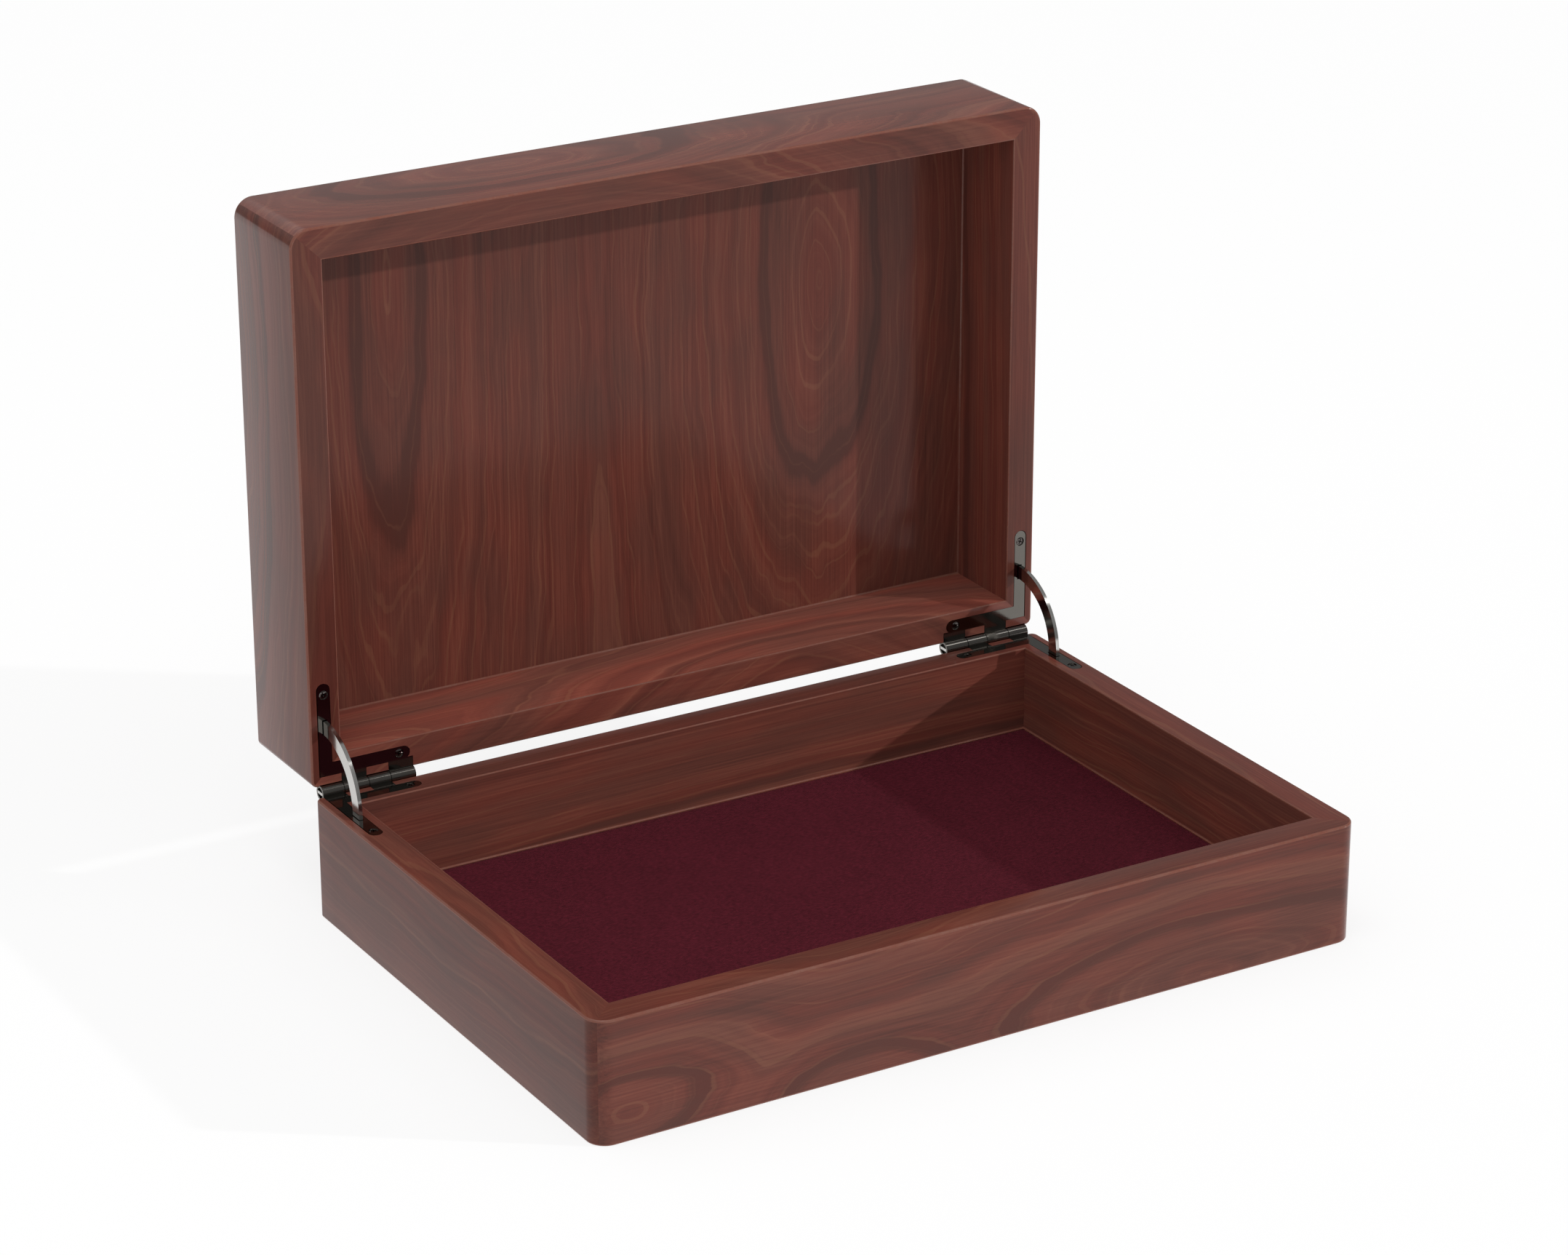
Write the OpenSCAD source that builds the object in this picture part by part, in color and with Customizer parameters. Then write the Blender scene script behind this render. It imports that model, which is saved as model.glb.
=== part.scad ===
// Rectangular hinged keepsake box, stored open at a right angle.
// Row frame: origin at the middle of the base's underside, front at -Y, up +Z, millimetres.
// A "tray frame" is used for base and lid alike: rim up at z = tray height, hinge side at +Y.

/* [Box] */
// Outer width along X
box_width = 328; // [200:1:450]
// Outer depth along Y
box_depth = 221.5; // [150:0.5:350]
// Height of each tray, base and lid alike
tray_height = 48.8; // [40:0.1:80]
// Board thickness
board = 12.7; // [9:0.1:18]
// Radius of the two vertical front corners
front_radius = 7.6; // [2:0.1:12]
// Radius of the two vertical hinge-side corners
back_radius = 2.7; // [1:0.1:6]

/* [Panels] */
// Depth from rim to the panel's inner face
panel_depth = 36.5; // [20:0.1:60]
// Thickness of the tongue round each panel
tongue = 6; // [3:0.1:8]
// How far the tongue enters the boards
tongue_reach = 4.8; // [2:0.1:8]
// Gap between a panel's field and the boards
panel_gap = 0.4; // [0.1:0.1:1]
// Thickness of the cloth lining
lining_thickness = 1.0; // [0.5:0.1:3]
// Gap round the edge of the cloth lining
lining_gap = 0.3; // [0.1:0.1:1]

/* [Hinge leaves] */
// Width of each leg of a leaf
leaf_width = 5.3; // [4:0.1:8]
// Outside length of each leg of a leaf
leg_length = 38.1; // [25:0.1:60]
// Thickness of a leaf
leaf_thickness = 2.4; // [1.5:0.1:4]
// Distance from the side face to a leaf's outer edge
leaf_inset_side = 3.6; // [2:0.1:8]
// Distance from the back face to a leaf's outer edge
leaf_inset_back = 4.0; // [2:0.1:8]
// Clearance round a leaf in its recess
leaf_clearance = 0.1; // [0:0.05:0.5]

/* [Barrel] */
// Distance of the pin's axis behind the back face
axis_behind = 2.5; // [0:0.1:6]
// Height of the pin's axis above the base's rim
axis_rise = 0.6; // [0:0.1:2]
// Gap between the rims with the lid closed
rim_gap = 0.3; // [0.1:0.1:1]
// Outer radius of the knuckles
knuckle_radius = 3.0; // [2:0.1:5]
// Radius of the pin
pin_radius = 2.1; // [1:0.1:3]
// Radial running clearance of the pin
pin_clearance = 0.05; // [0.01:0.01:0.1]
// Distance from the side face to the barrel's outer end
barrel_inset = 3.3; // [0:0.1:8]
// Length of each base knuckle
base_knuckle = 9.0; // [5:0.1:15]
// Length of each lid knuckle
lid_knuckle = 10.3; // [5:0.1:15]
// Gap between neighbouring knuckles
knuckle_gap = 0.3; // [0.1:0.05:1]
// Thickness of the tang bar across each end of the pin
tang_width = 1.1; // [0.5:0.1:2]
// Depth of the two openings beside the tang bar
tang_depth = 1.4; // [0.5:0.1:3]

/* [Stay arms] */
// Outer radius of the stay arm about the pin
stay_outer = 29.5; // [20:0.1:40]
// Radial width of the stay arm
stay_band = 5.5; // [3:0.1:8]
// Thickness of the stay arm along X
stay_thickness = 1.5; // [1:0.1:3]
// Radial reach of the stop lug at each end
lug_reach = 2.5; // [1:0.1:4]
// Angle of a lug's stop face past the hinge plane
lug_angle = 8; // [4:1:20]
// Angle a lug spans
lug_span = 5; // [2:1:15]
// Clearance of the stay arm in slot and mortise
stay_clearance = 0.3; // [0.1:0.05:1]

/* [Screws] */
// Distance of a screw from the end of its leg
screw_from_end = 4.6; // [3:0.1:8]
// Radius of a screw's head
screw_head = 1.8; // [1:0.1:3]
// Radius of a screw's shank
screw_shank = 0.95; // [0.5:0.05:2]
// Length of a screw's shank below the head
screw_length = 9; // [5:1:15]
// How far the head's edge sits below the leaf's face
head_sink = 0.4; // [0:0.05:1]
// Height of the head's dome
head_dome = 0.32; // [0.1:0.01:1]
// Depth of the head's conical seat
head_cone = 0.9; // [0.5:0.1:2]
// Width of the cross recess
cross_width = 0.45; // [0.2:0.05:1]
// Length of the cross recess
cross_length = 2.1; // [1:0.1:3]

/* [View] */
// Piece to draw

/* [Hidden] */
$fn = 96;
half_w = box_width / 2;
half_d = box_depth / 2;
inner_w = box_width - 2 * board;
inner_d = box_depth - 2 * board;
over = 1;
// axis of the hinge in the row frame
axis_y = half_d + axis_behind;
axis_z = tray_height + axis_rise;
// place of the open lid: its rim faces the front, its hinge side is down
lid_rim_y = axis_y - axis_rise + rim_gap;
lid_back_z = axis_z + axis_behind;
// height of the axis above the rim, in each tray's own frame
base_rise = axis_rise;
lid_rise = rim_gap - axis_rise;
// knuckle stations, measured inwards from the side face: base, lid, base, lid
k0 = barrel_inset;
k1 = k0 + base_knuckle;
k2 = k1 + knuckle_gap;
k3 = k2 + lid_knuckle;
k4 = k3 + knuckle_gap;
k5 = k4 + base_knuckle;
k6 = k5 + knuckle_gap;
k7 = k6 + lid_knuckle;
bore_radius = pin_radius + pin_clearance;
leg_mid_side = leaf_inset_side + leaf_width / 2;
leg_mid_back = leaf_inset_back + leaf_width / 2;
stay_inner = stay_outer - stay_band;
lug_inner = stay_inner - lug_reach;
lug_end = lug_angle + lug_span;
mortise_sweep = 45 + lug_end + 2;
slot_half = stay_thickness / 2 + stay_clearance;
slot_near = sqrt(pow(stay_inner, 2) - pow(axis_rise + leaf_thickness, 2)) - axis_behind - stay_clearance;
slot_far = stay_outer - axis_behind + stay_clearance;
screw_side_v = leaf_inset_back + leg_length - screw_from_end;
screw_rear_u = leaf_inset_side + leg_length - screw_from_end;
dome_sphere = (pow(screw_head, 2) + pow(head_dome, 2)) / (2 * head_dome);
hole_play = 0.05;
wood_red = [0.36, 0.17, 0.13];
wood_dark = [0.30, 0.14, 0.10];
panel_brown = [0.33, 0.17, 0.12];
cloth_wine = [0.36, 0.07, 0.10];
metal_dark = [0.30, 0.30, 0.31];
metal_light = [0.55, 0.55, 0.55];

// ---- placing ----

// puts a tray-frame shape where the open lid is
module lid_place() {
  translate([0, lid_rim_y + tray_height, lid_back_z + half_d])
    rotate([90, 0, 0])
      mirror([0, 1, 0])
        children();
}

// corner frame: x inwards from the side face, y inwards from the back face
module at_corner(side) {
  if (side > 0) {
    translate([half_w, half_d, 0]) rotate([0, 0, 180]) children();
  }
  if (side < 0) {
    translate([-half_w, half_d, 0]) mirror([0, 1, 0]) children();
  }
}

// turns a drawing of the Y-Z plane into a plate centred on x = 0
module yz_plate(thick) {
  translate([-thick / 2, 0, 0])
    rotate([90, 0, 90])
      linear_extrude(height = thick)
        children();
}

// sector of a ring, from angle a0 to a1 in degrees
module ring_sector(r0, r1, a0, a1) {
  far = r1 * 1.6;
  step = (a1 - a0) / 4;
  intersection() {
    difference() {
      circle(r = r1);
      circle(r = r0);
    }
    polygon(points = [
      [0, 0],
      [far * cos(a0), far * sin(a0)],
      [far * cos(a0 + step), far * sin(a0 + step)],
      [far * cos(a0 + 2 * step), far * sin(a0 + 2 * step)],
      [far * cos(a0 + 3 * step), far * sin(a0 + 3 * step)],
      [far * cos(a1), far * sin(a1)]
    ]);
  }
}

// ---- boards ----

// what is outside a rounded corner at (x, y), whose arc centre lies towards (dx, dy)
module corner_waste(x, y, dx, dy, r) {
  difference() {
    translate([x + dx * r / 2 - dx * over / 2, y + dy * r / 2 - dy * over / 2])
      square([r + over, r + over], center = true);
    translate([x + dx * r, y + dy * r])
      circle(r = r);
  }
}

module tray_outline() {
  difference() {
    square([box_width, box_depth], center = true);
    corner_waste(-half_w, -half_d, 1, 1, front_radius);
    corner_waste(half_w, -half_d, -1, 1, front_radius);
    corner_waste(-half_w, half_d, 1, -1, back_radius);
    corner_waste(half_w, half_d, -1, -1, back_radius);
  }
}

// mitred plan of the front board; the others are the same idea
module front_plan() {
  intersection() {
    tray_outline();
    polygon(points = [
      [-half_w - over, -half_d - over],
      [half_w + over, -half_d - over],
      [half_w - board, -half_d + board],
      [-half_w + board, -half_d + board]
    ]);
  }
}

module back_plan() {
  intersection() {
    tray_outline();
    polygon(points = [
      [-half_w - over, half_d + over],
      [half_w + over, half_d + over],
      [half_w - board, half_d - board],
      [-half_w + board, half_d - board]
    ]);
  }
}

module side_plan(side) {
  intersection() {
    tray_outline();
    polygon(points = [
      [side * (half_w + over), -half_d - over],
      [side * (half_w + over), half_d + over],
      [side * (half_w - board), half_d - board],
      [side * (half_w - board), -half_d + board]
    ]);
  }
}

// groove for the panel's tongue, cut in all four boards
module groove() {
  play = 0.2;
  reach = 2 * (tongue_reach + play);
  translate([0, 0, tray_height - panel_depth - tongue / 2])
    cube([inner_w + reach, inner_d + reach, tongue + 0.1], center = true);
}

module front_board() {
  difference() {
    linear_extrude(height = tray_height) front_plan();
    groove();
  }
}

module back_board(rise, a0, a1, b0, b1) {
  difference() {
    linear_extrude(height = tray_height) back_plan();
    groove();
    hinge_gains(1, rise, a0, a1, b0, b1);
    hinge_gains(-1, rise, a0, a1, b0, b1);
  }
}

module side_board(side, rise) {
  difference() {
    linear_extrude(height = tray_height) side_plan(side);
    groove();
    at_corner(side) leaf_recess();
    at_corner(side) screw_holes();
    stay_mortise(side, rise);
  }
}

// ---- cuts for the hinges, corner frame ----

module leaf_outline(grow) {
  wide = leaf_width + 2 * grow;
  long = leg_length - leaf_width / 2 + grow;
  translate([leaf_inset_side - grow, leaf_inset_back - grow]) {
    square([wide, long]);
    square([long, wide]);
  }
  translate([leg_mid_side, leaf_inset_back + leg_length - leaf_width / 2])
    circle(r = leaf_width / 2 + grow);
  translate([leaf_inset_side + leg_length - leaf_width / 2, leg_mid_back])
    circle(r = leaf_width / 2 + grow);
}

module leaf_recess() {
  translate([0, 0, tray_height - leaf_thickness])
    linear_extrude(height = leaf_thickness + over)
      leaf_outline(leaf_clearance);
}

// recess under the strap of one knuckle, open at the back face
module strap_recess(from, to) {
  translate([from - 0.15, -over, tray_height - leaf_thickness])
    cube([to - from + 0.3, leaf_inset_back + over + 0.5, leaf_thickness + over]);
}

module barrel_gain(rise) {
  translate([k0 - knuckle_gap, -axis_behind, tray_height + rise])
    rotate([0, 90, 0])
      cylinder(r = knuckle_radius + 0.3, h = k7 - k0 + 2 * knuckle_gap);
}

module screw_hole() {
  translate([0, 0, tray_height - leaf_thickness - screw_length])
    cylinder(r = screw_shank + hole_play, h = screw_length + leaf_thickness);
}

module screw_holes() {
  translate([leg_mid_side, screw_side_v, 0]) screw_hole();
  translate([screw_rear_u, leg_mid_back, 0]) screw_hole();
}

module hinge_gains(side, rise, a0, a1, b0, b1) {
  at_corner(side) {
    leaf_recess();
    screw_holes();
    barrel_gain(rise);
    strap_recess(a0, a1);
    strap_recess(b0, b1);
  }
}

// arc-shaped mortise that swallows the stay arm
module stay_mortise(side, rise) {
  translate([side * (half_w - leg_mid_side), axis_y, tray_height + rise])
    yz_plate(2 * slot_half)
      ring_sector(lug_inner - stay_clearance, stay_outer + stay_clearance, 172, 180 + mortise_sweep);
}

// ---- panels ----

module tray_panel() {
  field_h = tray_height - panel_depth;
  field_w = inner_w - 2 * panel_gap;
  field_d = inner_d - 2 * panel_gap;
  translate([-field_w / 2, -field_d / 2, 0])
    cube([field_w, field_d, field_h]);
  translate([0, 0, field_h - tongue / 2])
    cube([inner_w + 2 * tongue_reach, inner_d + 2 * tongue_reach, tongue], center = true);
}

// ---- hinge pieces, corner frame ----

module knuckle(from, to, rise) {
  translate([from, -axis_behind, tray_height + rise])
    rotate([0, 90, 0])
      cylinder(r = knuckle_radius, h = to - from);
  translate([from, -axis_behind, tray_height - leaf_thickness])
    cube([to - from, axis_behind + leaf_inset_back + 0.5, leaf_thickness]);
}

module pin_bore(rise) {
  translate([k0 - over, -axis_behind, tray_height + rise])
    rotate([0, 90, 0])
      cylinder(r = bore_radius, h = k7 - k0 + 2 * over);
}

module head_seat() {
  top = tray_height - head_sink;
  translate([0, 0, top])
    cylinder(r = screw_head + hole_play, h = head_sink + over);
  translate([0, 0, top - head_cone])
    cylinder(r1 = screw_shank + hole_play, r2 = screw_head + hole_play, h = head_cone);
}

module leaf(rise, a0, a1, b0, b1) {
  difference() {
    union() {
      translate([0, 0, tray_height - leaf_thickness])
        linear_extrude(height = leaf_thickness)
          leaf_outline(0);
      knuckle(a0, a1, rise);
      knuckle(b0, b1, rise);
    }
    pin_bore(rise);
    screw_holes();
    translate([leg_mid_side, screw_side_v, 0]) head_seat();
    translate([screw_rear_u, leg_mid_back, 0]) head_seat();
    translate([leg_mid_side - slot_half, slot_near, tray_height - leaf_thickness - over])
      cube([2 * slot_half, slot_far - slot_near, leaf_thickness + 2 * over]);
  }
}

module screw() {
  top = tray_height - head_sink;
  difference() {
    union() {
      translate([0, 0, top - head_cone])
        cylinder(r1 = screw_shank, r2 = screw_head, h = head_cone);
      translate([0, 0, top - head_cone - screw_length])
        cylinder(r = screw_shank, h = screw_length + 0.1);
      intersection() {
        translate([0, 0, top + head_dome - dome_sphere]) sphere(r = dome_sphere);
        translate([0, 0, top - 0.05]) cylinder(r = screw_head, h = head_dome + over);
      }
    }
    translate([0, 0, top]) {
      cube([cross_length, cross_width, 2 * head_cone], center = true);
      cube([cross_width, cross_length, 2 * head_cone], center = true);
    }
  }
}

module leaf_screws() {
  translate([leg_mid_side, screw_side_v, 0]) rotate([0, 0, 25]) screw();
  translate([screw_rear_u, leg_mid_back, 0]) rotate([0, 0, 70]) screw();
}

// pin with a tang bar across each end, row frame
module hinge_pin(side) {
  length = k7 - k0;
  at_corner(side)
    translate([k0, -axis_behind, axis_z])
      rotate([0, 90, 0])
        difference() {
          cylinder(r = pin_radius, h = length);
          pin_end_cuts(-over);
          pin_end_cuts(length - tang_depth);
        }
}

module pin_end_cuts(from) {
  wide = 2 * pin_radius + over;
  translate([tang_width / 2, -wide / 2, from]) cube([wide, wide, tang_depth + over]);
  translate([-wide - tang_width / 2, -wide / 2, from]) cube([wide, wide, tang_depth + over]);
}

// curved arm with a stop lug at each end, row frame
module stay_arm(side) {
  translate([side * (half_w - leg_mid_side), axis_y, axis_z])
    yz_plate(stay_thickness) {
      ring_sector(stay_inner, stay_outer, 90 - lug_end, 180 + lug_end);
      ring_sector(lug_inner, stay_inner + 0.5, 90 - lug_end, 90 - lug_angle);
      ring_sector(lug_inner, stay_inner + 0.5, 180 + lug_angle, 180 + lug_end);
    }
}

// ---- the pieces ----

module base_front_wall() {
  color(wood_red) front_board();
}

module base_back_wall() {
  color(wood_dark) back_board(base_rise, k0, k1, k4, k5);
}

module base_left_wall() {
  color(wood_red) side_board(-1, base_rise);
}

module base_right_wall() {
  color(wood_dark) side_board(1, base_rise);
}

module base_floor_panel() {
  color(panel_brown) tray_panel();
}

module base_lining() {
  wide = inner_w - 2 * lining_gap;
  deep = inner_d - 2 * lining_gap;
  color(cloth_wine)
    translate([-wide / 2, -deep / 2, tray_height - panel_depth])
      cube([wide, deep, lining_thickness]);
}

module lid_front_wall() {
  color(wood_dark) lid_place() front_board();
}

module lid_back_wall() {
  color(wood_red) lid_place() back_board(lid_rise, k2, k3, k6, k7);
}

module lid_left_wall() {
  color(wood_dark) lid_place() side_board(-1, lid_rise);
}

module lid_right_wall() {
  color(wood_red) lid_place() side_board(1, lid_rise);
}

module lid_panel() {
  color(panel_brown) lid_place() tray_panel();
}

module left_base_leaf() {
  color(metal_dark) at_corner(-1) leaf(base_rise, k0, k1, k4, k5);
}

module left_lid_leaf() {
  color(metal_dark) lid_place() at_corner(-1) leaf(lid_rise, k2, k3, k6, k7);
}

module left_hinge_pin() {
  color(metal_light) hinge_pin(-1);
}

module left_stay_arm() {
  color(metal_light) stay_arm(-1);
}

module left_base_screws() {
  color(metal_light) at_corner(-1) leaf_screws();
}

module left_lid_screws() {
  color(metal_light) lid_place() at_corner(-1) leaf_screws();
}

module right_base_leaf() {
  color(metal_dark) at_corner(1) leaf(base_rise, k0, k1, k4, k5);
}

module right_lid_leaf() {
  color(metal_dark) lid_place() at_corner(1) leaf(lid_rise, k2, k3, k6, k7);
}

module right_hinge_pin() {
  color(metal_light) hinge_pin(1);
}

module right_stay_arm() {
  color(metal_light) stay_arm(1);
}

module right_base_screws() {
  color(metal_light) at_corner(1) leaf_screws();
}

module right_lid_screws() {
  color(metal_light) lid_place() at_corner(1) leaf_screws();
}

base_front_wall();
base_back_wall();
base_left_wall();
base_right_wall();
base_floor_panel();
base_lining();
lid_front_wall();
lid_back_wall();
lid_left_wall();
lid_right_wall();
lid_panel();
left_base_leaf();
left_lid_leaf();
left_hinge_pin();
left_stay_arm();
left_base_screws();
left_lid_screws();
right_base_leaf();
right_lid_leaf();
right_hinge_pin();
right_stay_arm();
right_base_screws();
right_lid_screws();
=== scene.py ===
import math

import bmesh
import bpy
from mathutils import Matrix, Vector


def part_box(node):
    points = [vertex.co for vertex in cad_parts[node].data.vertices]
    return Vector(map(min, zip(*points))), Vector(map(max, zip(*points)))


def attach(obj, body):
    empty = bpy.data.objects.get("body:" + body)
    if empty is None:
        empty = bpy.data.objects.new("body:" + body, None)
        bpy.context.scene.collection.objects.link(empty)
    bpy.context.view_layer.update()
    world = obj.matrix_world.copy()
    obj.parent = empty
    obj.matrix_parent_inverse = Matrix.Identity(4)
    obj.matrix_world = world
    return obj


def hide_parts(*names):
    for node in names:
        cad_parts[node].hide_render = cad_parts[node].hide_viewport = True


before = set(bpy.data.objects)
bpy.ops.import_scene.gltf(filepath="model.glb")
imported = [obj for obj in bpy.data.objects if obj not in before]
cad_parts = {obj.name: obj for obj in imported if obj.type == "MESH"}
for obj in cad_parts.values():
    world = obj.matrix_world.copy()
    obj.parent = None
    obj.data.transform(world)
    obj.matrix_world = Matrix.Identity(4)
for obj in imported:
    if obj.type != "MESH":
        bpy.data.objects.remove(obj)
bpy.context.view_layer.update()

bl_info = {
    "name": "Hinged Keepsake Box",
    "version": (1, 0, 0),
    "blender": (4, 5, 0),
    "location": "View3D > Sidebar > Keepsake",
    "description": "Dresses the packed keepsake box: eased mahogany boards, figured panels, cloth lining, "
                   "quadrant hinges",
    "category": "Add Mesh",
}

MM = 0.001

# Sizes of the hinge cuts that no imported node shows, in metres.
SHORT_KNUCKLE = 0.009      # the first and the third knuckle of a barrel
KNUCKLE_GAP = 0.0003       # between neighbouring knuckles
STAY_BAND = 0.0055         # radial width of a stay arm
LUG_REACH = 0.0025         # how far a stop lug stands inside the arm
RUNNING_FIT = 0.0003       # room round a part that moves in its cut
LEAF_FIT = 0.0001          # room round a leaf in its recess
STRAP_FIT = 0.00015        # room on each side of a strap
STRAP_RUN = 0.0045         # how far a strap's cut runs in from the back face
GAIN_RADIUS = 0.0033       # the round gain that takes the barrel
GAIN_FACETS = 48
MORTISE_SWEEP = (8, -60)   # degrees above and below level that the stay's mortise covers, round the hinge's axis
OVERCUT = 0.002            # how far a cutter stands clear of the board

# Sizes of the boards' sections and corners, in metres.
LIP = 0.0004               # the step under the cove, where the panel meets the board
FOOT_BREAK = 0.0003        # the broken edge on the hidden side
MITRE_START = 0.0012       # a mitre's sweep begins this far past the board's thickness
CORNER_STEPS = 9
MIDDLE_STEPS = 6
WELD = 1e-6

# Which axes of the row frame run along the grain, across the board's face and through its thickness.
GRAIN = {"x_up": (0, 2, 1), "y_up": (1, 2, 0), "x_back": (0, 1, 2), "z_back": (2, 1, 0), "z_wide": (2, 0, 1)}
WALLS = ("front", "back", "left", "right")
# The material with the painted highlight on the boards' eased edges and cove.
EDGE_HIGHLIGHT_MATERIAL = "painted_highlight_mahogany_edges"


# ---------------------------------------------------------------- where things are

def measure_box():
    """Sizes and places of both trays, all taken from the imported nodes."""
    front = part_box("base_front_wall")
    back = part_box("base_back_wall")
    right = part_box("base_right_wall")
    lid_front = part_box("lid_front_wall")
    lid_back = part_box("lid_back_wall")
    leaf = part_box("right_base_leaf")
    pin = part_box("right_hinge_pin")
    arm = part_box("right_stay_arm")
    axis_y, axis_z = (pin[0].y + pin[1].y) / 2, (pin[0].z + pin[1].z) / 2
    return {
        "half_width": right[1].x,
        "half_depth": back[1].y,
        "height": front[1].z,
        "board": front[1].y - front[0].y,
        "rim_y": lid_front[0].y,
        "back_z": lid_back[0].z,
        "leaf_side": right[1].x - leaf[1].x,
        "axis": (axis_y, axis_z),
        "barrel": (right[1].x - pin[1].x, right[1].x - pin[0].x),
        "arm_middle": (arm[0].x + arm[1].x) / 2,
        "arm_thickness": arm[1].x - arm[0].x,
        "arm_reach": arm[1].z - axis_z,
        "floor_z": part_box("base_floor_panel")[1].z,
        "cloth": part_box("base_lining"),
        "panel_y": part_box("lid_panel")[0].y,
    }


BOX = measure_box()


def row_point(tray, x, y, z):
    """A point of a tray's own frame (rim up, hinge side at +Y), put where that tray is at rest."""
    if tray == "base":
        return Vector((x, y, z))
    return Vector((x, BOX["rim_y"] + BOX["height"] - z, BOX["back_z"] + BOX["half_depth"] - y))


def corner_point(tray, side, u, v, z):
    """u runs in from the side face and v in from the back face, at one rear corner of a tray."""
    return row_point(tray, side * (BOX["half_width"] - u), BOX["half_depth"] - v, z)


def faces_of(tray, wall):
    """A board's outer face and rim, in mm, as (face, way in from it) and (height of the rim, way up to it)."""
    way = -1 if wall in ("back", "right") else 1
    if wall in ("left", "right"):
        face = -way * BOX["half_width"]
    else:
        face = row_point(tray, 0, -way * BOX["half_depth"], 0)[2 if tray == "lid" else 1]
        way = -way if tray == "lid" else way
    brim = row_point(tray, 0, 0, BOX["height"])[1 if tray == "lid" else 2]
    return (face / MM, way), (brim / MM, -1 if tray == "lid" else 1)


# ---------------------------------------------------------------- the settings a user would change

class KeepsakeSizes(bpy.types.PropertyGroup):
    """Sizes of the eased edges and small cuts."""
    outer_ease: bpy.props.FloatProperty(
        name="Outer edge ease", default=0.0008, unit="LENGTH",
        description="Radius of the boards' outer long edges")
    inner_ease: bpy.props.FloatProperty(
        name="Inner edge ease", default=0.0005, unit="LENGTH",
        description="Radius of the boards' inner rim edge")
    cove: bpy.props.FloatProperty(
        name="Corner cove", default=0.0006, unit="LENGTH",
        description="Radius of the finish that gathers where a board meets its panel")
    front_radius: bpy.props.FloatProperty(
        name="Front corner radius", default=0.0076, unit="LENGTH",
        description="Radius of the vertical corners away from the hinges")
    back_radius: bpy.props.FloatProperty(
        name="Back corner radius", default=0.0027, unit="LENGTH",
        description="Radius of the vertical corners at the hinges")
    leaf_width: bpy.props.FloatProperty(
        name="Leaf width", default=0.0053, unit="LENGTH",
        description="Width of each leg of a hinge leaf")
    leaf_depth: bpy.props.FloatProperty(
        name="Leaf depth", default=0.0024, unit="LENGTH",
        description="Depth of the recess that takes a hinge leaf")
    leaf_back: bpy.props.FloatProperty(
        name="Leaf set-in", default=0.004, unit="LENGTH",
        description="Distance of a leaf from the back face")
    leg_length: bpy.props.FloatProperty(
        name="Leg length", default=0.0381, unit="LENGTH",
        description="Outside length of each leg of a leaf")
    panel_ease: bpy.props.FloatProperty(
        name="Panel edge ease", default=0.0005, unit="LENGTH",
        description="Width of the broken edges of the two panels")
    metal_ease: bpy.props.FloatProperty(
        name="Metal edge ease", default=0.00018, unit="LENGTH",
        description="Width of the broken edges of the hinge metal")
    nap: bpy.props.FloatProperty(
        name="Cloth unevenness", default=0.00015, unit="LENGTH",
        description="Height of the gentle unevenness of the laid cloth")


class KeepsakeFinish(bpy.types.PropertyGroup):
    """Colours and gloss of the finishes."""
    wood_dark: bpy.props.FloatVectorProperty(
        name="Dark growth lines", default=(0.108, 0.036, 0.0275), subtype="COLOR", size=3,
        description="Colour of the dark lines of the mahogany")
    wood_mid: bpy.props.FloatVectorProperty(
        name="Mahogany", default=(0.155, 0.048, 0.035), subtype="COLOR", size=3,
        description="Main colour of the mahogany")
    wood_light: bpy.props.FloatVectorProperty(
        name="Light growth lines", default=(0.208, 0.070, 0.048), subtype="COLOR", size=3,
        description="Colour of the light bands of the mahogany")
    wood_gold: bpy.props.FloatVectorProperty(
        name="Golden lines", default=(0.280, 0.120, 0.068), subtype="COLOR", size=3,
        description="Colour of the thin golden lines of the mahogany")
    # Painted highlight: the eased edges' colour, lighter than the wood, stands in for light caught on the edges.
    edge: bpy.props.FloatVectorProperty(
        name="Painted edge highlight", default=(0.215, 0.092, 0.068), subtype="COLOR", size=3,
        description="Colour of the eased edges painted lighter as a highlight")
    wood_gloss: bpy.props.FloatProperty(
        name="Mahogany roughness", default=0.16, min=0, max=1,
        description="Roughness of the lacquer")
    cloth: bpy.props.FloatVectorProperty(
        name="Lining cloth", default=(0.0880, 0.0097, 0.0181), subtype="COLOR", size=3,
        description="Burgundy of the lining")
    # Painted reflection and shade: the leaves' nickel is dark and warm for the dim wood it mirrors.
    leaf_metal: bpy.props.FloatVectorProperty(
        name="Leaf metal", default=(0.150, 0.140, 0.127), subtype="COLOR", size=3,
        description="Nickel of the hinge leaves, painted darker for dim reflections")
    # Painted light: the stays' and pins' nickel is brighter for the bright floor it mirrors.
    stay_metal: bpy.props.FloatVectorProperty(
        name="Stay metal", default=(0.56, 0.55, 0.53), subtype="COLOR", size=3,
        description="Nickel of the stays and pins, painted brighter for bright reflections")
    # Painted shade: the screws' nickel is darkened to dim the reflections on their heads.
    screw_metal: bpy.props.FloatVectorProperty(
        name="Screw metal", default=(0.12, 0.105, 0.10), subtype="COLOR", size=3,
        description="Nickel of the screws, painted darker to dim their reflections")


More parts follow.
